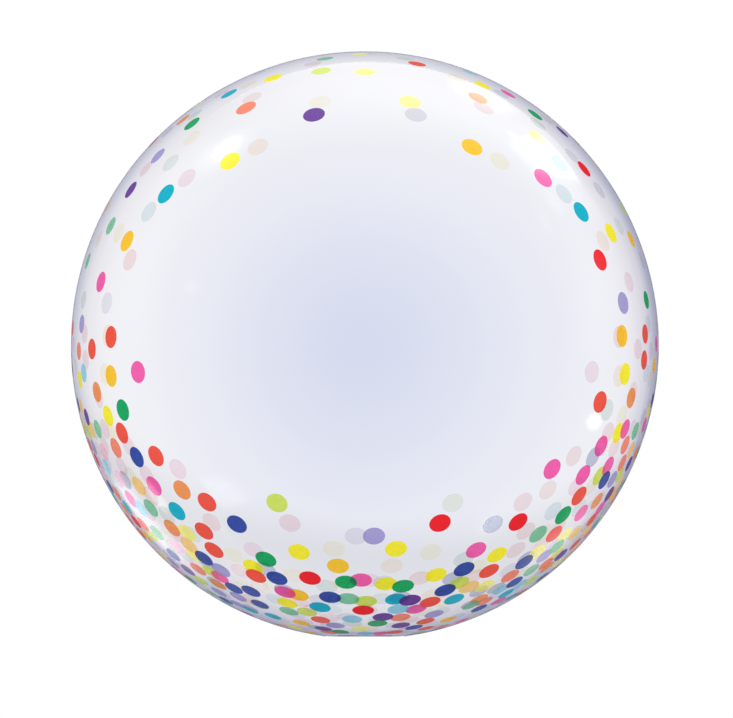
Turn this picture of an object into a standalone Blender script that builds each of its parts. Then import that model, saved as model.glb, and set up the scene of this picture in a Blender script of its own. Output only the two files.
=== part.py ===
"""Clear bubble balloon: a round bubble of stretched film with its flat filling neck.

The bubble is a turned ball that rests on a small flat spot at the foot of its axis. The neck is of the
same film. It comes out under the foot, turned back flat, and lies just above the surface that the
bubble rests on. Metres, +Z up, with the origin at the middle of the flat spot. The printed front of
the balloon faces -Y, and the neck points to +Y.
"""

import math

import bmesh
import bpy

# Driving dimensions
BUBBLE_RADIUS = 0.280
FOOT_RADIUS = 0.034
NECK_WIDTH = 0.026
NECK_LENGTH = 0.060
NECK_ROOT_WIDTH = 0.052
NECK_FLARE_LENGTH = 0.024
NECK_THICKNESS = 0.0006
NECK_LIFT = 0.0003
NECK_CORNER_RADIUS = 0.004

# How finely the round shapes are drawn
MERIDIAN_STEPS = 36
TURN_STEPS = 72
FLARE_STEPS = 8
CORNER_STEPS = 4

MERGE_DISTANCE = 0.00001

FILM_COLOUR = (0.82, 0.84, 0.925, 1.0)
FILM_ROUGHNESS = 0.06
FILM_ALPHA = 0.3
FILM_IOR = 1.45


def clear_scene():
    """Removes every object that is in the file."""
    for thing in list(bpy.data.objects):
        bpy.data.objects.remove(thing, do_unlink=True)


def new_collection(name):
    collection = bpy.data.collections.new(name)
    bpy.context.scene.collection.children.link(collection)
    return collection


def film_material():
    """Clear stretched film with a faint lavender tint."""
    material = bpy.data.materials.new("clear_film")
    material.use_nodes = True
    shader = material.node_tree.nodes["Principled BSDF"]
    shader.inputs["Base Color"].default_value = FILM_COLOUR
    shader.inputs["Roughness"].default_value = FILM_ROUGHNESS
    shader.inputs["Metallic"].default_value = 0.0
    shader.inputs["IOR"].default_value = FILM_IOR
    shader.inputs["Alpha"].default_value = FILM_ALPHA
    return material


def centre_height():
    """Height of the bubble's centre above its flat spot."""
    return math.sqrt(BUBBLE_RADIUS**2 - FOOT_RADIUS**2)


def distance_out_at(height):
    """How far the bubble's lower side is from its axis at a height above the flat spot."""
    return math.sqrt(BUBBLE_RADIUS**2 - (centre_height() - height) ** 2)


def bubble_profile():
    """Half of the bubble's outline: from the top down its outer side to the flat spot and its middle."""
    top = math.pi / 2
    foot = -math.asin(centre_height() / BUBBLE_RADIUS)
    points = []
    for step in range(MERIDIAN_STEPS + 1):
        angle = top + (foot - top) * step / MERIDIAN_STEPS
        out = BUBBLE_RADIUS * math.cos(angle)
        up = centre_height() + BUBBLE_RADIUS * math.sin(angle)
        points.append((out, 0.0, up))
    points[0] = (0.0, 0.0, centre_height() + BUBBLE_RADIUS)
    points[-1] = (FOOT_RADIUS, 0.0, 0.0)
    points.append((0.0, 0.0, 0.0))
    return points


def add_bubble(collection):
    """The round bubble: its profile turned round the upright axis."""
    mesh = bpy.data.meshes.new("clear_bubble")
    shape = bmesh.new()
    corners = [shape.verts.new(point) for point in bubble_profile()]
    for upper, lower in zip(corners, corners[1:]):
        shape.edges.new((upper, lower))
    shape.to_mesh(mesh)
    shape.free()
    bubble = bpy.data.objects.new("clear_bubble", mesh)
    collection.objects.link(bubble)
    turn = bubble.modifiers.new("turn", "SCREW")
    turn.axis = "Z"
    turn.angle = 2 * math.pi
    turn.steps = TURN_STEPS
    turn.render_steps = TURN_STEPS
    turn.use_merge_vertices = True
    turn.merge_threshold = MERGE_DISTANCE
    turn.use_smooth_shade = True
    return bubble


def neck_half_width(share):
    """Half the neck's width along its flare, from its root at 0 to its straight stretch at 1."""
    ease = share * share * (3 - 2 * share)
    return (NECK_ROOT_WIDTH + (NECK_WIDTH - NECK_ROOT_WIDTH) * ease) / 2


def neck_side(root_y, clear_y):
    """One long side of the flat neck, from its root inside the bubble to the middle of its open end."""
    end_y = clear_y + NECK_LENGTH
    flare = min(NECK_FLARE_LENGTH, NECK_LENGTH - NECK_CORNER_RADIUS)
    corner_x = NECK_WIDTH / 2 - NECK_CORNER_RADIUS
    corner_y = end_y - NECK_CORNER_RADIUS
    side = [(neck_half_width(0), root_y)]
    for step in range(FLARE_STEPS + 1):
        share = step / FLARE_STEPS
        side.append((neck_half_width(share), clear_y + flare * share))
    for step in range(CORNER_STEPS + 1):
        angle = math.pi / 2 * step / CORNER_STEPS
        x = corner_x + NECK_CORNER_RADIUS * math.cos(angle)
        y = corner_y + NECK_CORNER_RADIUS * math.sin(angle)
        side.append((x, y))
    return side


def add_neck(collection):
    """The flat neck: a filled outline as thick as its layers of film, from inside the foot to its end."""
    bottom = NECK_LIFT
    top = NECK_LIFT + NECK_THICKNESS
    root_y = FOOT_RADIUS / 2
    clear_y = distance_out_at(top)
    right = neck_side(root_y, clear_y)
    outline = right + [(-x, y) for x, y in reversed(right)]
    drawing = bpy.data.curves.new("neck_outline", "CURVE")
    drawing.dimensions = "2D"
    drawing.fill_mode = "BOTH"
    drawing.extrude = NECK_THICKNESS / 2
    spline = drawing.splines.new("POLY")
    spline.points.add(len(outline) - 1)
    for point, (x, y) in zip(spline.points, outline):
        point.co = (x, y, 0.0, 1.0)
    spline.use_cyclic_u = True
    neck = bpy.data.objects.new("neck_outline", drawing)
    neck.location.z = (bottom + top) / 2
    collection.objects.link(neck)
    return neck


def curve_to_mesh(curve, name):
    """Swaps a curve object for the same shape as a closed mesh."""
    bpy.context.view_layer.update()
    evaluated = curve.evaluated_get(bpy.context.evaluated_depsgraph_get())
    mesh = bpy.data.meshes.new_from_object(evaluated)
    mesh.name = name
    shape = bmesh.new()
    shape.from_mesh(mesh)
    bmesh.ops.remove_doubles(shape, verts=shape.verts, dist=MERGE_DISTANCE)
    shape.to_mesh(mesh)
    shape.free()
    solid = bpy.data.objects.new(name, mesh)
    solid.matrix_world = curve.matrix_world
    curve.users_collection[0].objects.link(solid)
    bpy.data.objects.remove(curve, do_unlink=True)
    return solid


def join_to(piece, other):
    """Joins the other shape to the piece, which makes one body of the two."""
    join = piece.modifiers.new("join " + other.name, "BOOLEAN")
    join.operation = "UNION"
    join.object = other
    other.hide_render = True
    other.display_type = "WIRE"


def build():
    clear_scene()
    balloon = new_collection("clear_bubble_balloon")
    shapers = new_collection("clear_bubble_balloon_shapers")
    bubble = add_bubble(balloon)
    bubble.data.materials.append(film_material())
    neck = curve_to_mesh(add_neck(shapers), "neck")
    join_to(bubble, neck)


build()
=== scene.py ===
"""The looks of the clear bubble balloon: its film, welded seam, neck, confetti print, floor and light.

Metres, +Z up. The printed front faces -Y, which is the side that the photograph shows.
"""

import math
import random

import bmesh
import bpy
from mathutils import Matrix, Vector


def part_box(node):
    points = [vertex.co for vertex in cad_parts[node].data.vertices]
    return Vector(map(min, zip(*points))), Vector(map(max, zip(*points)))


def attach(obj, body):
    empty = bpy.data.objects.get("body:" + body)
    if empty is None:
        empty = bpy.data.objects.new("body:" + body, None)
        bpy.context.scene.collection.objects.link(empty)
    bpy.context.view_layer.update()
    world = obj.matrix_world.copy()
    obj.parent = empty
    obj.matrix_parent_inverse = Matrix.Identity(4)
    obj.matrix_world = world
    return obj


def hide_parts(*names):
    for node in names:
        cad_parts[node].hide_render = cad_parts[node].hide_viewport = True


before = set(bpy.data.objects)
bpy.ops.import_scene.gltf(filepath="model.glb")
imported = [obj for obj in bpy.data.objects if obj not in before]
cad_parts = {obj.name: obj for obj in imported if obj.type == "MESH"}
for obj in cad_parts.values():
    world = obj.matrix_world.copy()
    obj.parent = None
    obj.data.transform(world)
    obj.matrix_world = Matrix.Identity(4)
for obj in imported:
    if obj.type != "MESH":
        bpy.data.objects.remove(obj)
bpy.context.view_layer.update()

# The photograph, in its own pixels
PHOTO_WIDTH = 733
PHOTO_HEIGHT = 718
PHOTO_CENTRE = (364.9, 345.2)
PHOTO_RADIUS = 293.5

# How far out a pixel may lie and still be taken as it is, as a share of the bubble's radius
SEEN_LIMIT = 0.9985

# The bubble, from the solid that stands for it
BUBBLE = "clear_bubble"
LOW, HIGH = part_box(BUBBLE)
RADIUS = (HIGH[0] - LOW[0]) / 2
CENTRE = Vector((0, 0, HIGH[2] - RADIUS))
METRES_PER_PIXEL = RADIUS / PHOTO_RADIUS
FOOT_RADIUS = math.sqrt(RADIUS**2 - CENTRE.z**2)

# The film's shape, with the creases that run out from the neck
FILM_SEGMENTS = 192
FILM_RINGS = 120
MERGE_DISTANCE = 0.00001
FOOT_EDGE_SOFTNESS = 0.0004
PUCKERS = 32
PUCKER_DEPTH = 0.0006
PUCKER_REACH = 0.064
PUCKER_WANDER = 0.6
PUCKER_WANDERS = 3
PUCKER_WANDER_START = 1.0

# Gloss of the film and of the inks on it: the share of light mirrored head on, what a glancing angle adds,
# how steeply that rises, and how much of it is left from inside
HEAD_ON_GLOSS = 0.04
GRAZING_GLOSS = 0.40
INK_HEAD_ON_GLOSS = 0.08
INK_GRAZING_GLOSS = 0.16
GRAZING_RISE = 5
GLOSS_INSIDE = 0.32

# The gloss is a little rougher along streaks that run up the film, as stretched film has
FILM_ROUGHNESS = 0.03
STREAK_ROUGHNESS = 0.05
STREAK_SCALE = 14.0
STREAK_STRETCH = (1, 1, 0.12)

# The light that the film's gloss is taken to mirror when its tints are worked out
LAMP_GLOW = (0.70, 0.70, 0.75)

# The Layer Weight blend at which Facing is 1 minus the cosine of the angle of view
COSINE_BLEND = 0.5

# How fine the noise in the film and in the inks is
SOFT_DETAIL = 2.0
FINE_DETAIL = 3.0

# What the film lets through, front and back together, as screen colours, by how far out from the middle
# it is seen. The lavender head on is the film's own tint; the paler ring further out is painted sheen, and
# the grey at the rim is a painted reflection of the dim room.
FILM_TINTS_AND_PAINTED_REFLECTION = (
    (0.00, (214, 219, 238)),
    (0.20, (218, 222, 239)),
    (0.40, (225, 228, 241)),
    (0.55, (231, 233, 243)),
    (0.67, (234, 235, 243)),
    (0.78, (238, 239, 245)),
    (0.88, (238, 238, 243)),
    (0.92, (232, 231, 237)),
    (0.95, (222, 221, 228)),
    (0.968, (212, 211, 221)),
    (0.985, (191, 192, 206)),
    (1.00, (180, 179, 191)),
)

# Painted light and shade in the film's tint, for how the light falls and what the film mirrors: paler at
# the top and on the left, darker on the right and low down
TOP_PAINTED_LIGHT = 0.5
SIDE_PAINTED_SHADE = 0.32
LOW_PAINTED_SHADE = 0.925
LOW_FILM_START = 0.76
LOW_FILM_FULL = 1.08
LOW_FILM_BOW = 0.6
LOW_FILM_LEAN = 0.1

# Soft clouds in the tint, and how much they shade it
CLOUD_SCALE = 5.0
CLOUD_STRETCH = (1, 1, 0.4)
CLOUD_SPAN = 0.024

# Welded seam where the two printed panels meet
SEAM_WIDTH = 0.0024
SEAM_RISE = 0.0005
SEAM_STEPS = 220
SEAM_SIDES = 10

# Filling neck, turned back flat under the foot
NECK_WIDTH = 0.026
NECK_ROOT_WIDTH = 0.052
NECK_FLARE_LENGTH = 0.024
NECK_LENGTH = 0.060
NECK_LIFT = 0.0003
NECK_THICKNESS = 0.0006
NECK_CORNER_RADIUS = 0.004
NECK_TOP = NECK_LIFT + NECK_THICKNESS
NECK_ROOT = math.sqrt(RADIUS**2 - (CENTRE.z - NECK_TOP) ** 2)
NECK_TUCK = 0.004
NECK_STEPS = 64
NECK_COLUMNS = 48
NECK_PLEATS = 5
NECK_PLEAT_RISE = 0.0012
NECK_PLEAT_FALL = 1.5
NECK_SHARE_OF_ROOM = 0.8
NECK_SHARP_ANGLE = 40
WELD_WIDTH = 0.0026
WELD_THICKNESS = 0.0009
WELD_RIB_PITCH = 0.0013
WELD_RIB_SIZE = (0.0022, 0.0006, 0.0003)
VALVE_WIDTH = 0.013
VALVE_LENGTH = 0.042
VALVE_THICKNESS = 0.0001
VALVE_CORNER_RADIUS = 0.0039
VALVE_CORNER_STEPS = 6

# Welded, neck and valve film: the light they let through, their dull body, its share and its grain
WELD_THROUGH = (0.66, 0.66, 0.74)
WELD_BODY = (0.66, 0.66, 0.74)
WELD_DULLNESS = 0.3
WELD_GRAIN = 260.0
NECK_THROUGH = (0.92, 0.93, 0.97)
NECK_BODY = (0.88, 0.89, 0.95)
NECK_DULLNESS = 0.06
NECK_GRAIN = 60.0
VALVE_THROUGH = (0.92, 0.93, 0.97)
VALVE_BODY = (0.86, 0.87, 0.92)
VALVE_DULLNESS = 0.25
VALVE_GRAIN = 400.0

# Confetti print
DOT_DIAMETER = 0.0213
DOT_CORNERS = 32

# The film is stretched less towards its seam, so the dots there are smaller: their share of full size on
# the seam, and how much it grows for each bubble radius away from it
DOT_SHARE_AT_SEAM = 0.62
DOT_SHARE_GAIN = 0.85

# Each ink lies on the film as a coat of its own: the height of the first, and how far the next is above it
PRINT_LIFT = 0.0001
INK_COAT = 0.00002

# How much of an ink's colour shows from inside, the share of its body and how mottled that is, and how
# bright the film behind it is
SEEN_THROUGH_INSIDE = 0.20
NAVY_THROUGH_INSIDE = 0.42
INK_BODY = 0.42
INK_MOTTLE = 0.16
INK_GRAIN = 120.0
BEHIND_INK = 0.82

# Inks, as screen colours
INKS = {
    "yellow": (252, 232, 40),
    "straw": (252, 238, 139),
    "lime": (200, 218, 92),
    "amber": (254, 192, 40),
    "honey": (247, 200, 128),
    "orange": (235, 146, 84),
    "coral": (245, 132, 104),
    "tomato": (234, 81, 61),
    "red": (234, 18, 28),
    "pink": (238, 92, 164),
    "blush": (238, 188, 210),
    "lavender": (160, 154, 202),
    "sky": (146, 203, 222),
    "cyan": (0, 172, 194),
    "mint": (124, 192, 155),
    "green": (0, 160, 88),
    "purple": (102, 54, 146),
    "navy": (46, 72, 156),
}

# Middles of dots on the front, read off the photograph, in its pixels
FRONT_DOTS = {
    "yellow": [
        (273, 78), (230, 161), (482, 85), (611, 233), (108, 416), (299, 552), (253, 567), (625, 374),
        (618, 433), (396, 549), (497, 555), (436, 575), (386, 584), (287, 603),
    ],
    "straw": [
        (360, 54), (365, 72), (538, 138), (410, 102), (187, 533), (194, 555), (565, 535), (537, 552),
        (556, 553), (485, 586),
    ],
    "lime": [(321, 71), (623, 209), (277, 503), (599, 476), (211, 572), (459, 583), (307, 612)],
    "amber": [(127, 241), (472, 147), (622, 336), (111, 376), (338, 566), (298, 595), (631, 239)],
    "honey": [(139, 486), (189, 545), (620, 482), (575, 533), (469, 587), (631, 450)],
    "orange": [
        (478, 98), (183, 120), (107, 206), (97, 392), (182, 490), (172, 528), (631, 398), (547, 567),
        (479, 599),
    ],
    "coral": [
        (246, 108), (79, 351), (116, 448), (625, 445), (622, 463), (614, 498), (198, 569), (510, 576),
    ],
    "tomato": [
        (417, 64), (154, 142), (111, 337), (92, 349), (73, 328), (645, 334), (644, 360), (600, 402),
        (122, 433), (156, 456), (207, 502), (204, 531), (214, 550), (256, 576), (579, 496), (592, 519),
        (554, 534), (575, 544), (489, 571), (430, 602),
    ],
    "red": [(584, 169), (600, 260), (440, 523), (518, 522), (310, 578)],
    "pink": [
        (101, 282), (508, 94), (543, 178), (656, 344), (138, 372), (154, 486), (220, 577), (361, 580),
        (285, 592), (625, 429), (601, 446), (552, 469), (583, 475), (608, 466), (581, 513), (600, 508),
        (476, 550), (416, 609),
    ],
    "blush": [(104, 452), (120, 478)],
    "lavender": [
        (158, 156), (82, 324), (623, 303), (94, 447), (221, 570), (374, 536), (544, 556), (434, 614),
    ],
    "sky": [(470, 73), (84, 373), (141, 508), (501, 589)],
    "cyan": [
        (229, 94), (166, 194), (581, 212), (177, 511), (596, 523), (320, 607), (396, 599), (454, 599),
        (273, 616),
    ],
    "mint": [
        (559, 163), (325, 59), (111, 226), (88, 261), (98, 429), (151, 508), (635, 431), (538, 534),
        (531, 570), (471, 605), (289, 611),
    ],
    "green": [
        (192, 124), (535, 115), (646, 300), (123, 410), (266, 559), (346, 582), (563, 515), (403, 586),
    ],
    "purple": [(314, 115), (131, 190), (562, 132), (87, 417), (609, 494), (410, 600)],
    "navy": [
        (137, 457), (237, 524), (204, 558), (277, 578), (234, 588), (251, 591), (330, 597), (604, 480),
        (524, 562), (464, 569), (445, 590), (542, 577), (479, 608), (260, 604), (414, 627),
    ],
}

# Dots of the front that the photograph shows no partner for on the back
NOT_ON_THE_BACK = [(600, 402), (321, 71)]

# Out to here every dot of the front was read off the photograph, but for a patch at the foot, given by its
# half width and its upper edge. All are in radii from the centre
READ_REACH = 0.93
UNREAD_PATCH = (0.12, -0.80)

# Latitudes, in degrees, below which the rest of the print is dense: low in front, and rising to the sides
LOW_PRINT_EDGE = -46
SIDE_PRINT_RISE = 50
SIDE_PRINT_CURVE = 2.2
PRINT_FADE = 10

# The sparse ring beside the seam, by its longitude as a share of the way from the front to the side
RING_START = 0.84
RING_FADE = 0.1

# How often a dot is tried for on a patch as big as the radius squared, and how near dots may be to each
# other, in diameters
DENSE_TRIES = 420
SPARSE_TRIES = 36
DOT_SPACING = 0.76
SAME_INK_SPACING = 1.3
SCATTER_SEED = 11

# Softboxes: how far off they stand, in metres, and the shares of their size over which they fade at their
# left, right, bottom and top
SOFTBOX_DISTANCE = 1.6
NEAR_DISTANCE = 0.5
EVEN_EDGES = (0.3, 0.3, 0.3, 0.3)
SOFT_SIDES = (0.4, 0.4, 0.3, 0.3)
FAINT_SIDES = (0.5, 0.5, 0.4, 0.4)

# The small step across the bubble, in radii, by which the size of a reflection is worked out
MIRROR_STEP = 0.001

# Softboxes that the bubble's front mirrors. The pixel of the photograph is the middle of the reflection,
# the spread is its width and height in pixels, and the tilt turns it anticlockwise, in degrees. One with a
# round edge is round, and fades over that share of its width
MIRRORED_LAMPS = {
    "upper_left_lamp": dict(pixel=(227, 148), spread=(28, 26), radiance=5.0, round_edge=0.45),
    "upper_left_glow": dict(pixel=(222, 151), spread=(60, 48), radiance=2.2, round_edge=0.45),
    "right_lamp": dict(
        pixel=(594, 422), spread=(25, 37), radiance=7, tilt=-18, distance=NEAR_DISTANCE, round_edge=0.45
    ),
    "upper_right_window": dict(
        pixel=(541, 157), spread=(42, 98), radiance=6.8, tilt=43, distance=NEAR_DISTANCE,
        edges=(0.55, 0.1, 0.35, 0.25),
    ),
    "window_bar": dict(pixel=(520, 144), spread=(6, 44), radiance=3.0, tilt=38, edges=SOFT_SIDES),
    "upper_right_glow": dict(pixel=(482, 96), spread=(80, 26), radiance=3, tilt=-18, round_edge=0.45),
    "right_streak": dict(pixel=(544, 222), spread=(16, 44), radiance=0.8, tilt=28, edges=FAINT_SIDES),
    "low_left_window": dict(pixel=(150, 525), spread=(22, 200), radiance=3.2, tilt=40, edges=SOFT_SIDES),
    "low_left_streak": dict(pixel=(157, 498), spread=(12, 50), radiance=3.0, tilt=40),
    "low_right_window": dict(
        pixel=(558, 538), spread=(24, 150), radiance=1.3, tilt=-45, edges=(0.4, 0.25, 0.3, 0.3)
    ),
    "left_strip": dict(pixel=(142, 290), spread=(70, 210), radiance=0.25, edges=FAINT_SIDES),
    "right_strip": dict(pixel=(594, 300), spread=(60, 200), radiance=0.6, edges=FAINT_SIDES),
}

# The key light isn't mirrored, but is placed as if it were
FRONT_KEY = dict(pixel=(365, 250), spread=(300, 300), radiance=1.3)

# Panels behind the bubble, in metres from its centre: one overhead, turned in degrees, with a bright far
# edge, and two dim walls
OVERHEAD_PLACE = (0.72, 1.1, 1.6)
OVERHEAD_TURN = 16
OVERHEAD_PANEL = dict(size=(3.8, 2.46), radiance=1.8, edges=(0.4, 0.3, 0.4, 0.03))
OVERHEAD_EDGE = dict(size=(3.6, 0.1), radiance=3.2, edges=(0.2, 0.2, 0.3, 0.3))
LEFT_WALL_PLACE = (-0.7, 3.0, 0.9)
LEFT_WALL = dict(size=(5.2, 3.8), radiance=0.22, edges=(0.1, 0.4, 0.3, 0.1))
LOW_WALL_PLACE = (0, 3.0, -2.0)
LOW_WALL = dict(size=(9.0, 3.8), radiance=0.45, edges=EVEN_EDGES)

# What the film mirrors where it mirrors no lamp
ROOM_GLOW = (0.24, 0.25, 0.30)

# The floor, which reaches this far each way, and the camera, in metres
FLOOR_REACH = 12.0
FLOOR_DROP = 0.0002
FLOOR_COLOUR = (0.88, 0.88, 0.89)
FLOOR_ROUGHNESS = 0.7
CAMERA_DISTANCE = 3

# The way that the camera looks
LOOK = Vector((0, 1, 0))

# How often light may pass through layers of film, and how often it may bounce
SEE_THROUGH_BOUNCES = 48
LIGHT_BOUNCES = 12


def linear(colour):
    """A screen colour, 0 to 255, as the linear values that shaders take, by the sRGB curve."""
    shares = [level / 255 for level in colour]
    return [share / 12.92 if share <= 0.04045 else ((share + 0.055) / 1.055) ** 2.4 for share in shares]


def link_object(name, data):
    """A new object in the scene, with its mesh, curve, lamp or camera."""
    thing = bpy.data.objects.new(name, data)
    bpy.context.scene.collection.objects.link(thing)
    return thing


def as_plain_mesh(source, name):
    """What an object's modifiers make, as a new object with a plain mesh. The source is removed."""
    bpy.context.view_layer.update()
    evaluated = source.evaluated_get(bpy.context.evaluated_depsgraph_get())
    mesh = bpy.data.meshes.new_from_object(evaluated)
    mesh.name = name
    bpy.data.objects.remove(source, do_unlink=True)
    return link_object(name, mesh)


def add_node(tree, kind, **settings):
    """A node with its settings, and its inputs given by name with spaces as underscores."""
    node = tree.nodes.new(kind)
    for name, value in settings.items():
        socket = node.inputs.get(name.replace("_", " "))
        if socket is None:
            setattr(node, name, value)
        elif isinstance(value, bpy.types.NodeSocket):
            tree.links.new(value, socket)
        else:
            socket.default_value = value
    return node


def add_math(tree, operation, *values):
    """A Math node. Each value is a number or the socket that feeds it."""
    node = tree.nodes.new("ShaderNodeMath")
    node.operation = operation
    for socket, value in zip(node.inputs, values):
        if isinstance(value, (int, float)):
            socket.default_value = value
        else:
            tree.links.new(value, socket)
    return node.outputs[0]


def new_tree(name, inputs, output):
    """An empty geometry tree with named inputs and one output."""
    tree = bpy.data.node_groups.new(name, "GeometryNodeTree")
    for label, kind in inputs.items():
        tree.interface.new_socket(label, in_out="INPUT", socket_type="NodeSocket" + kind)
    tree.interface.new_socket(output, in_out="OUTPUT", socket_type="NodeSocketGeometry")
    given = tree.nodes.new("NodeGroupInput")
    result = tree.nodes.new("NodeGroupOutput")
    return tree, given.outputs, result.inputs


def finish_tree(tree, geometry, material, output):
    """Realises what the tree has made, shades it smooth and gives it its material."""
    real = add_node(tree, "GeometryNodeRealizeInstances", Geometry=geometry)
    smooth = add_node(tree, "GeometryNodeSetShadeSmooth", Geometry=real.outputs[0])
    coat = add_node(tree, "GeometryNodeSetMaterial", Geometry=smooth.outputs[0], Material=material)
    tree.links.new(coat.outputs[0], output)


def set_inputs(modifier, values):
    """Sets a node modifier's inputs by the names that its tree gives them."""
    sockets = {
        item.name: item.identifier
        for item in modifier.node_group.interface.items_tree
        if item.item_type == "SOCKET" and item.in_out == "INPUT"
    }
    for name, value in values.items():
        modifier[sockets[name]] = value


def combine(tree, operation, first, second):
    """A Vector Math node on two vectors."""
    node = add_node(tree, "ShaderNodeVectorMath", operation=operation)
    tree.links.new(first, node.inputs[0])
    tree.links.new(second, node.inputs[1])
    return node.outputs[0]


def from_centre(tree, centre):
    """The way from the bubble's centre to the point that a node works on."""
    place = add_node(tree, "GeometryNodeInputPosition")
    return combine(tree, "SUBTRACT", place.outputs[0], centre)


def new_material(name):
    """An empty material, with its tree and its output node."""
    material = bpy.data.materials.new(name)
    material.use_nodes = True
    tree = material.node_tree
    tree.nodes.clear()
    output = tree.nodes.new("ShaderNodeOutputMaterial")
    return material, tree, output


def add_noise(tree, scale, detail, stretch=(1, 1, 1)):
    """Soft noise on the object's own coordinates, drawn out along an axis by a small stretch value."""
    place = add_node(tree, "ShaderNodeTexCoord")
    mapping = add_node(tree, "ShaderNodeMapping", Vector=place.outputs["Object"], Scale=stretch)
    noise = add_node(
        tree, "ShaderNodeTexNoise", Vector=mapping.outputs["Vector"], Scale=scale, Detail=detail
    )
    return noise.outputs["Fac"]


def add_facing(tree):
    """How far the surface is turned from the eye: 0 head on, and 1 at the rim."""
    facing = add_node(tree, "ShaderNodeLayerWeight", Blend=COSINE_BLEND)
    return facing.outputs["Facing"]


def mix_shaders(tree, share, first, second):
    """The first shader with a share of the second."""
    mix = add_node(tree, "ShaderNodeMixShader", Fac=share)
    tree.links.new(first, mix.inputs[1])
    tree.links.new(second, mix.inputs[2])
    return mix.outputs[0]


def add_gloss(tree, under, head_on=HEAD_ON_GLOSS, grazing=GRAZING_GLOSS):
    """Lays a gloss over a shader: little head on, more at a glancing angle, and less from inside."""
    side = add_node(tree, "ShaderNodeNewGeometry")
    rise = add_math(tree, "POWER", add_facing(tree), GRAZING_RISE)
    share = add_math(tree, "MULTIPLY_ADD", rise, grazing, head_on)
    kept = add_math(tree, "MULTIPLY_ADD", side.outputs["Backfacing"], GLOSS_INSIDE - 1, 1.0)
    gloss = add_math(tree, "MULTIPLY", share, kept)
    streaks = add_noise(tree, STREAK_SCALE, FINE_DETAIL, stretch=STREAK_STRETCH)
    rough = add_math(tree, "MULTIPLY_ADD", streaks, STREAK_ROUGHNESS, FILM_ROUGHNESS)
    mirror = add_node(tree, "ShaderNodeBsdfGlossy", Roughness=rough)
    return mix_shaders(tree, gloss, under, mirror.outputs[0])


def mirror_share(out):
    """How much the film mirrors at a place seen this far out from the bubble's middle."""
    facing = 1 - math.sqrt(1 - out**2)
    return HEAD_ON_GLOSS + GRAZING_GLOSS * facing**GRAZING_RISE


def layer_tint(out, colour):
    """What one layer of film lets through, so that two layers and their gloss give the colour seen."""
    share = mirror_share(out)
    rest = [max(level - share * glow, 0) for level, glow in zip(linear(colour), LAMP_GLOW)]
    return [min(math.sqrt(level) / (1 - share), 1) for level in rest] + [1.0]


def add_tint_and_painted_reflection_ramp(tree):
    """The tint of one layer of film by how far it is turned from the eye, with painted sheen and a painted
    rim.
    """
    ramp = add_node(tree, "ShaderNodeValToRGB", Fac=add_facing(tree))
    ramp.color_ramp.interpolation = "CARDINAL"
    stops = ramp.color_ramp.elements

    # New stops start halfway, and each is then moved to its own place
    while len(stops) < len(FILM_TINTS_AND_PAINTED_REFLECTION):
        stops.new(0.5)
    for stop, (out, tint) in zip(stops, FILM_TINTS_AND_PAINTED_REFLECTION):
        stop.position = 1 - math.sqrt(1 - out**2)
        stop.color = layer_tint(out, tint)
    return ramp.outputs["Color"]


def add_place_on_bubble(tree):
    """How far to the right of the bubble's centre and how far above it the film is, in radii."""
    place = add_node(tree, "ShaderNodeTexCoord")
    centred = add_node(
        tree, "ShaderNodeMapping", vector_type="TEXTURE", Vector=place.outputs["Object"], Location=CENTRE,
        Scale=(RADIUS, RADIUS, RADIUS),
    )
    way = add_node(tree, "ShaderNodeSeparateXYZ", Vector=centred.outputs["Vector"])
    return way.outputs["X"], way.outputs["Z"]


def add_painted_top_and_side_light(tree, right, up):
    """Painted light and shade as a power on the tint: under 1 at the top and left, over 1 low and on the
    right.
    """
    up_cubed = add_math(tree, "MULTIPLY", add_math(tree, "MULTIPLY", up, up), up)
    right_cubed = add_math(tree, "MULTIPLY", add_math(tree, "MULTIPLY", right, right), right)
    thinner = add_math(tree, "MULTIPLY_ADD", up_cubed, -TOP_PAINTED_LIGHT, 1.0)
    return add_math(tree, "MULTIPLY_ADD", right_cubed, SIDE_PAINTED_SHADE, thinner)


def add_painted_low_shade(tree, right, up):
    """Painted shade on the lower film, deeper further out and to the left, for the shaded floor it mirrors.
    """
    low = add_node(
        tree, "ShaderNodeMapRange", interpolation_type="SMOOTHSTEP", From_Min=LOW_FILM_START,
        From_Max=LOW_FILM_FULL, To_Min=1.0, To_Max=LOW_PAINTED_SHADE,
    )
    right_squared = add_math(tree, "MULTIPLY", right, right)
    out_squared = add_math(tree, "MULTIPLY_ADD", up, up, right_squared)
    lean = add_math(tree, "MULTIPLY_ADD", right, LOW_FILM_LEAN, up)
    bow = add_math(tree, "MULTIPLY", out_squared, LOW_FILM_BOW)
    tree.links.new(add_math(tree, "SUBTRACT", bow, lean), low.inputs["Value"])
    return low.outputs[0]


def film_material():
    """Clear stretch film, lavender head on, with painted light and shade: paler further out and at the top,
    grey at the rim and on the right, and darker low down.
    """
    material, tree, output = new_material("clear_stretch_film")
    right, up = add_place_on_bubble(tree)
    # The tint is raised to this power: painted light at the top and left, painted shade low and on the
    # right
    thickness = add_painted_top_and_side_light(tree, right, up)
    deep = add_node(tree, "ShaderNodeGamma", Color=add_tint_and_painted_reflection_ramp(tree), Gamma=thickness)
    clouds = add_noise(tree, CLOUD_SCALE, SOFT_DETAIL, stretch=CLOUD_STRETCH)
    cloudy = add_math(tree, "MULTIPLY_ADD", clouds, CLOUD_SPAN, 1 - CLOUD_SPAN / 2)
    # Painted shade low down, times the clouds' uneven tone
    shade = add_math(tree, "MULTIPLY", add_painted_low_shade(tree, right, up), cloudy)
    tint = add_node(
        tree, "ShaderNodeVectorMath", operation="SCALE", Vector=deep.outputs["Color"], Scale=shade
    )
    clear = add_node(tree, "ShaderNodeBsdfTransparent", Color=tint.outputs["Vector"])
    tree.links.new(add_gloss(tree, clear.outputs[0]), output.inputs["Surface"])
    return material


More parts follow.
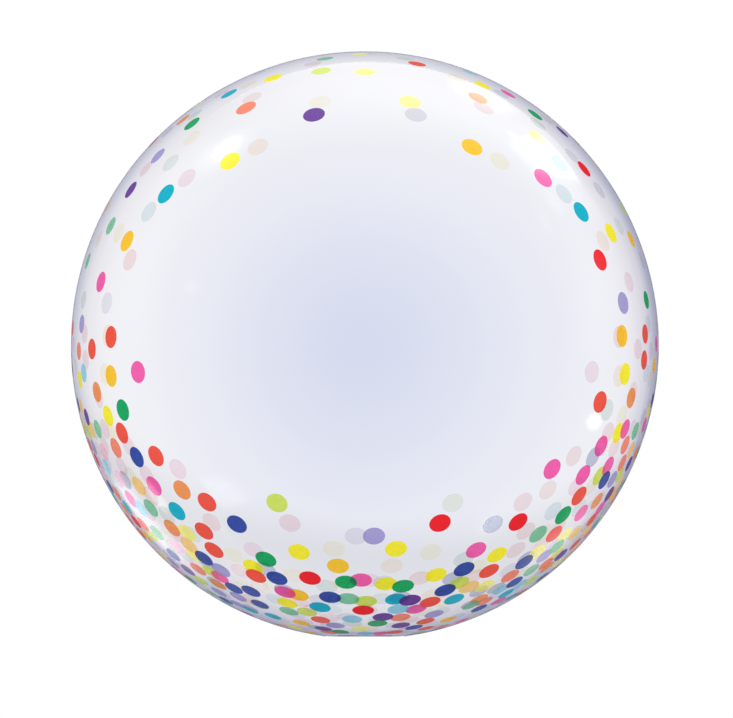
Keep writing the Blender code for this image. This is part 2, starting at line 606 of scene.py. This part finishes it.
def above_floor(height):
    """The height, eased so that what would sink below the foot's flat spot lies on it."""
    return (height + math.sqrt(height**2 + FOOT_EDGE_SOFTNESS**2)) / 2


def pucker(place):
    """How far the film is drawn in by the creases that run out from the neck."""
    away = math.hypot(place.x, place.y)
    if away <= FOOT_RADIUS or away >= PUCKER_REACH or place.z > CENTRE.z:
        return 0
    share = (away - FOOT_RADIUS) / (PUCKER_REACH - FOOT_RADIUS)
    swell = math.sin(math.pi * share) ** 2
    turn = math.atan2(place.y, place.x)
    wander = PUCKER_WANDER * math.sin(PUCKER_WANDERS * turn + PUCKER_WANDER_START)
    return PUCKER_DEPTH * swell * (0.5 + 0.5 * math.cos(PUCKERS * turn + wander))


def half_outline():
    """Half of a ball's outline round its centre, from its top down its right side to its bottom."""
    angles = [math.pi * ring / FILM_RINGS for ring in range(FILM_RINGS + 1)]
    return [(RADIUS * math.sin(angle), 0, RADIUS * math.cos(angle)) for angle in angles]


def make_film():
    """The bubble of film: a fine turned ball, flattened where it rests and puckered round the neck."""
    outline = bpy.data.meshes.new("film_outline")
    outline.from_pydata(half_outline(), [(ring, ring + 1) for ring in range(FILM_RINGS)], [])
    source = link_object("film_outline", outline)
    turn = source.modifiers.new("turn", "SCREW")
    turn.axis = "Z"
    turn.angle = 2 * math.pi
    turn.steps = FILM_SEGMENTS
    turn.render_steps = FILM_SEGMENTS
    turn.use_merge_vertices = True
    turn.merge_threshold = MERGE_DISTANCE
    film = as_plain_mesh(source, "film_bubble")
    for corner in film.data.vertices:
        inward = pucker(corner.co + CENTRE)
        corner.co = CENTRE + corner.co * (1 - inward / RADIUS)
        corner.co.z = above_floor(corner.co.z)
    film.data.shade_smooth()
    film.data.materials.append(film_material())
    return film


def layered_material(name, through, body, share, grain):
    """Film of which a share, finely uneven, is a dull body that scatters light, under the film's gloss."""
    material, tree, output = new_material(name)
    clear = add_node(tree, "ShaderNodeBsdfTransparent", Color=(*through, 1))
    dull = add_node(tree, "ShaderNodeBsdfDiffuse", Color=(*body, 1))
    uneven = add_math(tree, "MULTIPLY_ADD", add_noise(tree, grain, SOFT_DETAIL), share, share / 2)
    mix = mix_shaders(tree, uneven, clear.outputs[0], dull.outputs[0])
    tree.links.new(add_gloss(tree, mix), output.inputs["Surface"])
    return material


def weld_material():
    """Heat-sealed film: two layers fused, greyer and duller than the film beside it."""
    return layered_material("heat_sealed_film", WELD_THROUGH, WELD_BODY, WELD_DULLNESS, WELD_GRAIN)


def neck_material():
    """The flat neck's film: clear like the bubble's, and too flat to show a rim."""
    return layered_material("neck_film", NECK_THROUGH, NECK_BODY, NECK_DULLNESS, NECK_GRAIN)


def valve_material():
    """The thin milky film of the valve."""
    return layered_material("milky_valve_film", VALVE_THROUGH, VALVE_BODY, VALVE_DULLNESS, VALVE_GRAIN)


def seam_tree():
    """Geometry nodes: a low weld round the bubble's outline, from one side of the foot to the other."""
    tree, given, result = new_tree(
        "welded_seam",
        {
            "Bubble radius": "Float",
            "Weld width": "Float",
            "Weld rise": "Float",
            "Foot angle": "Float",
            "Steps": "Int",
            "Centre": "Vector",
            "Material": "Material",
        },
        "Seam",
    )
    start = add_math(tree, "SUBTRACT", given["Foot angle"], math.pi / 2)
    sweep = add_math(tree, "MULTIPLY_ADD", given["Foot angle"], -2.0, 2 * math.pi)
    arc = add_node(
        tree, "GeometryNodeCurveArc", Resolution=given["Steps"], Radius=given["Bubble radius"],
        Start_Angle=start, Sweep_Angle=sweep,
    )
    upright = add_node(
        tree, "GeometryNodeTransform", Geometry=arc.outputs["Curve"], Rotation=(math.pi / 2, 0, 0)
    )
    half_width = add_math(tree, "MULTIPLY", given["Weld width"], 0.5)
    bead = add_node(tree, "GeometryNodeCurvePrimitiveCircle", Resolution=SEAM_SIDES, Radius=half_width)
    tube = add_node(
        tree, "GeometryNodeCurveToMesh", Curve=upright.outputs[0], Profile_Curve=bead.outputs["Curve"],
        Fill_Caps=True,
    )

    # The round bead is pressed flat: its height above the film becomes the weld's rise
    place = add_node(tree, "GeometryNodeInputPosition")
    parts = add_node(tree, "ShaderNodeSeparateXYZ", Vector=place.outputs[0])
    in_plane = add_node(tree, "ShaderNodeCombineXYZ", X=parts.outputs["X"], Z=parts.outputs["Z"])
    out = add_node(tree, "ShaderNodeVectorMath", operation="LENGTH", Vector=in_plane.outputs[0])
    above = add_math(tree, "SUBTRACT", out.outputs["Value"], given["Bubble radius"])
    press = add_math(tree, "DIVIDE", given["Weld rise"], half_width)
    pressed = add_math(tree, "MULTIPLY_ADD", above, press, given["Bubble radius"])
    scale = add_math(tree, "DIVIDE", pressed, out.outputs["Value"])
    flat = add_node(
        tree, "ShaderNodeVectorMath", operation="SCALE", Vector=in_plane.outputs[0], Scale=scale
    )
    across = add_node(tree, "ShaderNodeCombineXYZ", Y=parts.outputs["Y"])
    place_on_film = combine(tree, "ADD", flat.outputs[0], across.outputs[0])
    weld = add_node(tree, "GeometryNodeSetPosition", Geometry=tube.outputs[0], Position=place_on_film)
    moved = add_node(
        tree, "GeometryNodeTransform", Geometry=weld.outputs[0], Translation=given["Centre"]
    )
    finish_tree(tree, moved.outputs[0], given["Material"], result["Seam"])
    return tree


def make_seam(material):
    """The weld between the two printed panels, round the bubble's outline as the photograph shows it."""
    source = link_object("seam_source", bpy.data.meshes.new("seam_source"))
    modifier = source.modifiers.new("welded seam", "NODES")
    modifier.node_group = seam_tree()
    foot_angle = math.asin((FOOT_RADIUS + 2 * SEAM_WIDTH) / RADIUS)
    set_inputs(
        modifier,
        {
            "Bubble radius": RADIUS,
            "Weld width": SEAM_WIDTH,
            "Weld rise": SEAM_RISE,
            "Foot angle": foot_angle,
            "Steps": SEAM_STEPS,
            "Centre": tuple(CENTRE),
            "Material": material,
        },
    )
    return as_plain_mesh(source, "welded_seam")


def under_bubble(y):
    """How high the bubble's underside is above the floor at this distance behind its foot."""
    return CENTRE.z - math.sqrt(RADIUS**2 - y**2)


def neck_half_width(y):
    """Half the neck's width: flared at its root, straight, and round at the corners of its open end."""
    share = min(max((y - NECK_ROOT) / NECK_FLARE_LENGTH, 0), 1)
    ease = share * share * (3 - 2 * share)
    half = (NECK_ROOT_WIDTH + (NECK_WIDTH - NECK_ROOT_WIDTH) * ease) / 2
    past = y - (NECK_ROOT + NECK_LENGTH - NECK_CORNER_RADIUS)
    if past > 0:
        half -= NECK_CORNER_RADIUS - math.sqrt(max(NECK_CORNER_RADIUS**2 - past**2, 0))
    return half


def neck_top(share, y):
    """The height of the neck's upper film, pleated where it is gathered into the bubble."""
    along = min(max((y - NECK_ROOT) / NECK_LENGTH, 0), 1)
    pleat = (0.5 + 0.5 * math.cos(NECK_PLEATS * math.pi * share)) * (1 - share**2)
    rise = NECK_PLEAT_RISE * pleat * (1 - along) ** NECK_PLEAT_FALL
    room = NECK_SHARE_OF_ROOM * max(under_bubble(y) - NECK_TOP, 0)
    return NECK_TOP + min(rise, room)


def make_neck():
    """The flat filling neck: two layers of film in one closed strip."""
    shape = bmesh.new()
    rows = []
    for step in range(NECK_STEPS + 1):
        y = NECK_ROOT - NECK_TUCK + (NECK_LENGTH + NECK_TUCK) * step / NECK_STEPS
        half = neck_half_width(y)
        shares = [2 * column / NECK_COLUMNS - 1 for column in range(NECK_COLUMNS + 1)]
        upper = [shape.verts.new((half * share, y, neck_top(share, y))) for share in shares]
        lower = [shape.verts.new((half * share, y, NECK_LIFT)) for share in reversed(shares)]
        rows.append(upper + lower)
    for row, following in zip(rows, rows[1:]):
        for number in range(len(row)):
            beside = (number + 1) % len(row)
            shape.faces.new((row[number], row[beside], following[beside], following[number]))
    shape.faces.new(rows[0])
    shape.faces.new(list(reversed(rows[-1])))
    bmesh.ops.recalc_face_normals(shape, faces=shape.faces)
    mesh = bpy.data.meshes.new("filling_neck")
    shape.to_mesh(mesh)
    shape.free()
    mesh.shade_smooth()
    mesh.set_sharp_from_angle(angle=math.radians(NECK_SHARP_ANGLE))
    neck = link_object("filling_neck", mesh)
    mesh.materials.append(neck_material())
    return neck


def weld_tree():
    """Geometry nodes: a flat weld along a curve, pressed across with small ribs."""
    tree, given, result = new_tree(
        "ribbed_weld",
        {
            "Path": "Geometry",
            "Weld width": "Float",
            "Weld thickness": "Float",
            "Rib pitch": "Float",
            "Rib size": "Vector",
            "Rib height": "Vector",
            "Material": "Material",
        },
        "Weld",
    )
    level = add_node(tree, "GeometryNodeSetCurveNormal", mode="Z_UP", Curve=given["Path"])
    strip = add_node(
        tree, "GeometryNodeCurvePrimitiveQuadrilateral", Width=given["Weld width"],
        Height=given["Weld thickness"],
    )
    band = add_node(
        tree, "GeometryNodeCurveToMesh", Curve=level.outputs[0], Profile_Curve=strip.outputs[0],
        Fill_Caps=True,
    )
    marks = add_node(
        tree, "GeometryNodeCurveToPoints", mode="LENGTH", Curve=level.outputs[0], Length=given["Rib pitch"]
    )
    rib = add_node(tree, "GeometryNodeMeshCube", Size=given["Rib size"])
    ribs = add_node(
        tree, "GeometryNodeInstanceOnPoints", Points=marks.outputs["Points"], Instance=rib.outputs["Mesh"]
    )
    raised = add_node(
        tree, "GeometryNodeTransform", Geometry=ribs.outputs[0], Translation=given["Rib height"]
    )
    both = tree.nodes.new("GeometryNodeJoinGeometry")
    tree.links.new(raised.outputs[0], both.inputs[0])
    tree.links.new(band.outputs[0], both.inputs[0])
    finish_tree(tree, both.outputs[0], given["Material"], result["Weld"])
    return tree


def make_neck_welds(material):
    """The welded edges of the neck, one on each side."""
    tree = weld_tree()
    welds = []
    for side, sign in (("left", -1), ("right", 1)):
        path = bpy.data.curves.new("neck_edge_" + side, "CURVE")
        path.dimensions = "3D"
        line = path.splines.new("POLY")
        line.points.add(NECK_STEPS)
        for step, point in enumerate(line.points):
            y = NECK_ROOT + (NECK_LENGTH - NECK_CORNER_RADIUS) * step / NECK_STEPS
            x = sign * (neck_half_width(y) - WELD_WIDTH / 2)
            point.co = (x, y, NECK_LIFT + WELD_THICKNESS / 2, 1)
        source = link_object("neck_edge_" + side, path)
        modifier = source.modifiers.new("ribbed weld", "NODES")
        modifier.node_group = tree
        set_inputs(
            modifier,
            {
                "Weld width": WELD_WIDTH,
                "Weld thickness": WELD_THICKNESS,
                "Rib pitch": WELD_RIB_PITCH,
                "Rib size": WELD_RIB_SIZE,
                "Rib height": (0, 0, WELD_THICKNESS / 2),
                "Material": material,
            },
        )
        welds.append(as_plain_mesh(source, "neck_weld_" + side))
    return welds


def make_valve():
    """The valve that closes itself: a narrow strip of milky film inside the neck."""
    shape = bmesh.new()
    bmesh.ops.create_cube(shape, size=1)
    size = (VALVE_WIDTH, VALVE_LENGTH, VALVE_THICKNESS)
    bmesh.ops.scale(shape, verts=shape.verts, vec=size)
    upright = [edge for edge in shape.edges if edge.verts[0].co.z * edge.verts[1].co.z < 0]
    bmesh.ops.bevel(
        shape, geom=upright, offset=VALVE_CORNER_RADIUS, segments=VALVE_CORNER_STEPS, affect="EDGES"
    )
    middle = (0, NECK_ROOT + NECK_LENGTH / 2, NECK_LIFT + NECK_THICKNESS / 2)
    bmesh.ops.translate(shape, verts=shape.verts, vec=middle)
    mesh = bpy.data.meshes.new("valve_strip")
    shape.to_mesh(mesh)
    shape.free()
    valve = link_object("valve_strip", mesh)
    mesh.materials.append(valve_material())
    return valve


def ink_material(name, colour):
    """Translucent ink: full colour from outside, and pale from inside, where its white base shows."""
    material, tree, output = new_material("ink_" + name)
    tone = linear(colour)
    outside = [min(level / BEHIND_INK, 1) for level in tone] + [1.0]
    through = NAVY_THROUGH_INSIDE if name == "navy" else SEEN_THROUGH_INSIDE
    inside = [1 - through * (1 - level) for level in tone] + [1.0]
    side = add_node(tree, "ShaderNodeNewGeometry")
    pale = add_node(tree, "ShaderNodeMix", data_type="RGBA", Factor=side.outputs["Backfacing"])
    colours = [socket for socket in pale.inputs if socket.type == "RGBA"]
    colours[0].default_value = outside
    colours[1].default_value = inside
    mixed = [socket for socket in pale.outputs if socket.type == "RGBA"][0]
    clear = add_node(tree, "ShaderNodeBsdfTransparent", Color=mixed)

    # The ink's body is mottled, as a printed dot is, and only its outer side shows it
    grain = add_noise(tree, INK_GRAIN, FINE_DETAIL)
    mottle = add_math(tree, "MULTIPLY_ADD", grain, INK_MOTTLE, INK_BODY - INK_MOTTLE / 2)
    outer = add_math(tree, "SUBTRACT", 1.0, side.outputs["Backfacing"])
    solid = add_math(tree, "MULTIPLY", mottle, outer)
    body = add_node(tree, "ShaderNodeBsdfDiffuse", Color=tone + [1.0])
    ink = mix_shaders(tree, solid, clear.outputs[0], body.outputs[0])
    glossy = add_gloss(tree, ink, INK_HEAD_ON_GLOSS, INK_GRAZING_GLOSS)
    tree.links.new(glossy, output.inputs["Surface"])
    return material


def photo_to_bubble(pixel):
    """The point on the bubble's front, as a direction from its centre, that a pixel of the photo shows."""
    across = (pixel[0] - PHOTO_CENTRE[0]) / PHOTO_RADIUS
    up = (PHOTO_CENTRE[1] - pixel[1]) / PHOTO_RADIUS
    out = math.hypot(across, up)
    if out > SEEN_LIMIT:
        across *= SEEN_LIMIT / out
        up *= SEEN_LIMIT / out
    return Vector((across, -math.sqrt(1 - across**2 - up**2), up))


def turned(direction):
    """The same place on the back panel, which carries the front's print half a turn round."""
    return Vector((-direction.x, -direction.y, direction.z))


def laid_dots():
    """Every listed dot, as (ink, direction, whether the back panel has its partner)."""
    return [
        (ink, photo_to_bubble(pixel), pixel not in NOT_ON_THE_BACK)
        for ink, pixels in FRONT_DOTS.items()
        for pixel in pixels
    ]


def tries_per_patch(direction):
    """How often a scattered dot is tried for here, on a patch as big as the radius squared."""
    longitude = math.degrees(math.atan2(direction.x, -direction.y))
    latitude = math.degrees(math.asin(direction.z))
    side = abs(longitude) / 90
    edge = LOW_PRINT_EDGE + SIDE_PRINT_RISE * side**SIDE_PRINT_CURVE
    depth = (edge - latitude) / PRINT_FADE
    dense = DENSE_TRIES * min(max(depth, 0), 1)
    ring = SPARSE_TRIES * min(max((side - RING_START) / RING_FADE, 0), 1)
    return max(dense, ring)


def scattered_dots(dots):
    """Adds the dots near the panel's edge: dense low down and round the sides, sparse above.

    A panel is half a ball, so its area is 2 pi times the radius squared.
    """
    draw = random.Random(SCATTER_SEED)
    inks = list(INKS)
    foot_limit = -math.sqrt(1 - ((FOOT_RADIUS + DOT_DIAMETER) / RADIUS) ** 2)
    full = DOT_DIAMETER / RADIUS
    for _ in range(int(DENSE_TRIES * 2 * math.pi)):
        up = draw.uniform(-1, 1)
        longitude = math.radians(draw.uniform(-90, 90))
        ink = draw.choice(inks)
        chance = draw.random()
        if up < foot_limit:
            continue
        out = math.sqrt(1 - up**2)
        here = Vector((out * math.sin(longitude), -out * math.cos(longitude), up))
        unread = abs(here.x) < UNREAD_PATCH[0] and here.z < UNREAD_PATCH[1]
        if math.hypot(here.x, here.z) < READ_REACH and not unread:
            continue
        if chance > tries_per_patch(here) / DENSE_TRIES:
            continue
        size = full * min(DOT_SHARE_AT_SEAM + DOT_SHARE_GAIN * abs(here.y), 1)
        if any(
            (place - here).length < size * (SAME_INK_SPACING if other_ink == ink else DOT_SPACING)
            for other_ink, front, _ in dots
            for place in (front, turned(front))
        ):
            continue
        dots.append((ink, here, True))
    return dots


def dot_tree():
    """Geometry nodes: a round dot on every point, facing out, bent to the bubble, smaller near the seam."""
    tree, given, result = new_tree(
        "round_dots",
        {
            "Points": "Geometry",
            "Dot radius": "Float",
            "Bubble radius": "Float",
            "Share at seam": "Float",
            "Share gain": "Float",
            "Lift": "Float",
            "Centre": "Vector",
            "Ink": "Material",
        },
        "Dots",
    )
    disc = add_node(
        tree, "GeometryNodeMeshCircle", fill_type="TRIANGLE_FAN", Vertices=DOT_CORNERS,
        Radius=given["Dot radius"],
    )
    outward = from_centre(tree, given["Centre"])
    turn = add_node(tree, "FunctionNodeAlignRotationToVector", axis="Z", Vector=outward)
    parts = add_node(tree, "ShaderNodeSeparateXYZ", Vector=outward)
    off_seam = add_math(tree, "ABSOLUTE", parts.outputs["Y"])
    off_seam = add_math(tree, "DIVIDE", off_seam, given["Bubble radius"])
    share = add_math(tree, "MULTIPLY_ADD", off_seam, given["Share gain"], given["Share at seam"])
    size = add_math(tree, "MINIMUM", share, 1.0)
    spread = add_node(
        tree, "GeometryNodeInstanceOnPoints", Points=given["Points"], Instance=disc.outputs["Mesh"],
        Rotation=turn.outputs["Rotation"], Scale=size,
    )
    real = add_node(tree, "GeometryNodeRealizeInstances", Geometry=spread.outputs["Instances"])

    # Each corner of a dot is moved along its own ray from the bubble's centre, onto the film
    way = from_centre(tree, given["Centre"])
    ray = add_node(tree, "ShaderNodeVectorMath", operation="NORMALIZE", Vector=way)
    reach = add_math(tree, "ADD", given["Bubble radius"], given["Lift"])
    out = add_node(tree, "ShaderNodeVectorMath", operation="SCALE", Vector=ray.outputs[0], Scale=reach)
    place = combine(tree, "ADD", out.outputs[0], given["Centre"])
    bend = add_node(tree, "GeometryNodeSetPosition", Geometry=real.outputs["Geometry"], Position=place)
    finish_tree(tree, bend.outputs["Geometry"], given["Ink"], result["Dots"])
    return tree


def make_confetti():
    """The print: one piece for each ink, because each ink is laid on by itself."""
    tree = dot_tree()
    dots = scattered_dots(laid_dots())
    pieces = []
    for number, (ink, colour) in enumerate(INKS.items()):
        lift = PRINT_LIFT + number * INK_COAT
        places = [
            CENTRE + side * RADIUS
            for dot_ink, front, on_back in dots
            if dot_ink == ink
            for side in [front] + [turned(front)] * on_back
        ]
        mesh = bpy.data.meshes.new("middles_" + ink)
        mesh.from_pydata(places, [], [])
        source = link_object("middles_" + ink, mesh)
        modifier = source.modifiers.new("round dots", "NODES")
        modifier.node_group = tree
        set_inputs(
            modifier,
            {
                "Dot radius": DOT_DIAMETER / 2,
                "Bubble radius": RADIUS,
                "Share at seam": DOT_SHARE_AT_SEAM,
                "Share gain": DOT_SHARE_GAIN,
                "Lift": lift,
                "Centre": tuple(CENTRE),
                "Ink": ink_material(ink, colour),
            },
        )
        pieces.append(as_plain_mesh(source, "confetti_" + ink))
    return pieces


def make_floor():
    """A plain pale floor."""
    shape = bmesh.new()
    bmesh.ops.create_grid(shape, x_segments=1, y_segments=1, size=FLOOR_REACH)
    mesh = bpy.data.meshes.new("floor")
    shape.to_mesh(mesh)
    shape.free()
    floor = link_object("floor", mesh)
    floor.location.z = -FLOOR_DROP
    material = bpy.data.materials.new("pale_floor")
    material.use_nodes = True
    shader = material.node_tree.nodes["Principled BSDF"]
    shader.inputs["Base Color"].default_value = (*FLOOR_COLOUR, 1)
    shader.inputs["Roughness"].default_value = FLOOR_ROUGHNESS
    mesh.materials.append(material)
    floor.visible_glossy = False


def make_world():
    """A white studio. What the film mirrors is the dimmer room behind the lamps."""
    world = bpy.data.worlds.new("white_studio")
    bpy.context.scene.world = world
    world.use_nodes = True
    tree = world.node_tree
    white = tree.nodes["Background"]
    white.inputs["Color"].default_value = (1, 1, 1, 1)
    room = add_node(tree, "ShaderNodeBackground", Color=(*ROOM_GLOW, 1))
    ray = add_node(tree, "ShaderNodeLightPath")
    mix = mix_shaders(tree, ray.outputs["Is Glossy Ray"], white.outputs[0], room.outputs[0])
    tree.links.new(mix, tree.nodes["World Output"].inputs["Surface"])


def add_fade(tree, socket, start, full):
    """A smooth rise from nothing at one place to full at another."""
    fade = add_node(
        tree, "ShaderNodeMapRange", interpolation_type="SMOOTHSTEP", Value=socket, From_Min=start,
        From_Max=full,
    )
    return fade.outputs[0]


def add_round_fade(tree, spot, edge):
    """Light that fades towards the edge of a round softbox, over a share of its width.

    A lamp's own coordinates run from 0 to 1 each way, so its middle is at a half.
    """
    off_middle = add_node(tree, "ShaderNodeVectorMath", operation="DISTANCE", Vector=spot)
    off_middle.inputs[1].default_value = (0.5, 0.5, 0)
    return add_fade(tree, off_middle.outputs["Value"], 0.5, 0.5 - edge)


def add_side_fades(tree, spot, edges):
    """Light that fades towards the left, right, bottom and top of a softbox, over shares of its size."""
    axes = add_node(tree, "ShaderNodeSeparateXYZ", Vector=spot)
    left, right, bottom, top = edges
    from_left = add_fade(tree, axes.outputs["X"], 0, left)
    from_right = add_fade(tree, axes.outputs["X"], 1, 1 - right)
    from_bottom = add_fade(tree, axes.outputs["Y"], 0, bottom)
    from_top = add_fade(tree, axes.outputs["Y"], 1, 1 - top)
    across = add_math(tree, "MULTIPLY", from_left, from_right)
    along = add_math(tree, "MULTIPLY", from_bottom, from_top)
    return add_math(tree, "MULTIPLY", across, along)


def make_softbox(name, place, turn, size, radiance, edges=EVEN_EDGES, round_edge=None):
    """A softbox whose light fades towards its edges. It is round where it is given a round edge."""
    data = bpy.data.lights.new(name, "AREA")
    data.shape = "ELLIPSE" if round_edge else "RECTANGLE"
    data.size, data.size_y = size
    area = size[0] * size[1] * (math.pi / 4 if round_edge else 1)
    data.energy = radiance * math.pi * area
    data.use_nodes = True
    tree = data.node_tree
    spot = add_node(tree, "ShaderNodeNewGeometry").outputs["Parametric"]
    if round_edge:
        strength = add_round_fade(tree, spot, round_edge)
    else:
        strength = add_side_fades(tree, spot, edges)
    tree.links.new(strength, tree.nodes["Emission"].inputs["Strength"])
    lamp = link_object(name, data)
    lamp.location = place
    lamp.rotation_mode = "QUATERNION"
    lamp.rotation_quaternion = turn
    lamp.visible_camera = False
    lamp.visible_diffuse = False
    lamp.visible_transmission = False
    return lamp


def make_mirrored_softbox(name, pixel, spread, radiance, tilt=0, distance=SOFTBOX_DISTANCE, **more):
    """A softbox placed so that the bubble's front mirrors it at a pixel of the photo.

    The spread is its width and height in the mirror image, in pixels of the photo, and the tilt, in
    degrees, turns the image anticlockwise.
    """
    away = mirrored(pixel, Vector((0, 0, 0)))
    side = Vector((math.cos(math.radians(tilt)), 0, math.sin(math.radians(tilt))))
    rise = Vector((-side.z, 0, side.x))
    across = mirrored(pixel, side * MIRROR_STEP) - away
    along = mirrored(pixel, rise * MIRROR_STEP) - away
    size = [
        pixels * (edge.length / MIRROR_STEP) * distance / PHOTO_RADIUS
        for pixels, edge in zip(spread, (across, along))
    ]
    flat = (along - away * along.dot(away)).normalized()
    turn = Matrix((flat.cross(away), flat, away)).transposed().to_quaternion()
    place = CENTRE + photo_to_bubble(pixel) * RADIUS + away * distance
    return make_softbox(name, place, turn, size, radiance, **more)


def mirrored(pixel, shift):
    """The direction that the bubble's front mirrors a little way off from a pixel of the photo."""
    near = (pixel[0] + shift.x * PHOTO_RADIUS, pixel[1] - shift.z * PHOTO_RADIUS)
    normal = photo_to_bubble(near)
    return LOOK - 2 * LOOK.dot(normal) * normal


def make_lights():
    """Softboxes that the bubble mirrors, a panel overhead, two dim walls behind it and a key light."""
    for name, lamp in MIRRORED_LAMPS.items():
        make_mirrored_softbox(name, **lamp)

    level = Matrix.Rotation(math.radians(OVERHEAD_TURN), 3, "Z")
    middle = CENTRE + Vector(OVERHEAD_PLACE)
    far_edge = middle + level @ Vector((0, OVERHEAD_PANEL["size"][1] / 2, 0))
    make_softbox("overhead_panel", middle, level.to_quaternion(), **OVERHEAD_PANEL)
    make_softbox("overhead_edge", far_edge, level.to_quaternion(), **OVERHEAD_EDGE)

    upright = Matrix.Rotation(math.radians(-90), 3, "X").to_quaternion()
    make_softbox("left_wall", CENTRE + Vector(LEFT_WALL_PLACE), upright, **LEFT_WALL)
    make_softbox("low_wall", CENTRE + Vector(LOW_WALL_PLACE), upright, **LOW_WALL)

    key = make_mirrored_softbox("front_key", **FRONT_KEY)
    key.visible_diffuse = True
    key.visible_glossy = False


def make_camera():
    """Looks level along +Y without perspective, as the photograph does."""
    data = bpy.data.cameras.new("camera")
    data.type = "ORTHO"
    data.ortho_scale = PHOTO_WIDTH * METRES_PER_PIXEL
    camera = link_object("camera", data)
    right = (PHOTO_WIDTH / 2 - PHOTO_CENTRE[0]) * METRES_PER_PIXEL
    down = (PHOTO_HEIGHT / 2 - PHOTO_CENTRE[1]) * METRES_PER_PIXEL
    camera.location = (right, -CAMERA_DISTANCE, CENTRE.z - down)
    camera.rotation_euler = (math.pi / 2, 0, 0)
    bpy.context.scene.camera = camera


def set_colours():
    """Plain screen colours, and enough bounces to see through every layer of film and ink."""
    scene = bpy.context.scene
    scene.view_settings.view_transform = "Standard"
    scene.view_settings.look = "None"
    scene.cycles.transparent_max_bounces = SEE_THROUGH_BOUNCES
    scene.cycles.max_bounces = LIGHT_BOUNCES


film = make_film()
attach(film, "root")
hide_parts(BUBBLE)
welded = weld_material()
for piece in [make_seam(welded), make_neck(), make_valve()] + make_neck_welds(welded) + make_confetti():
    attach(piece, "root")

make_floor()
make_world()
make_lights()
make_camera()
set_colours()
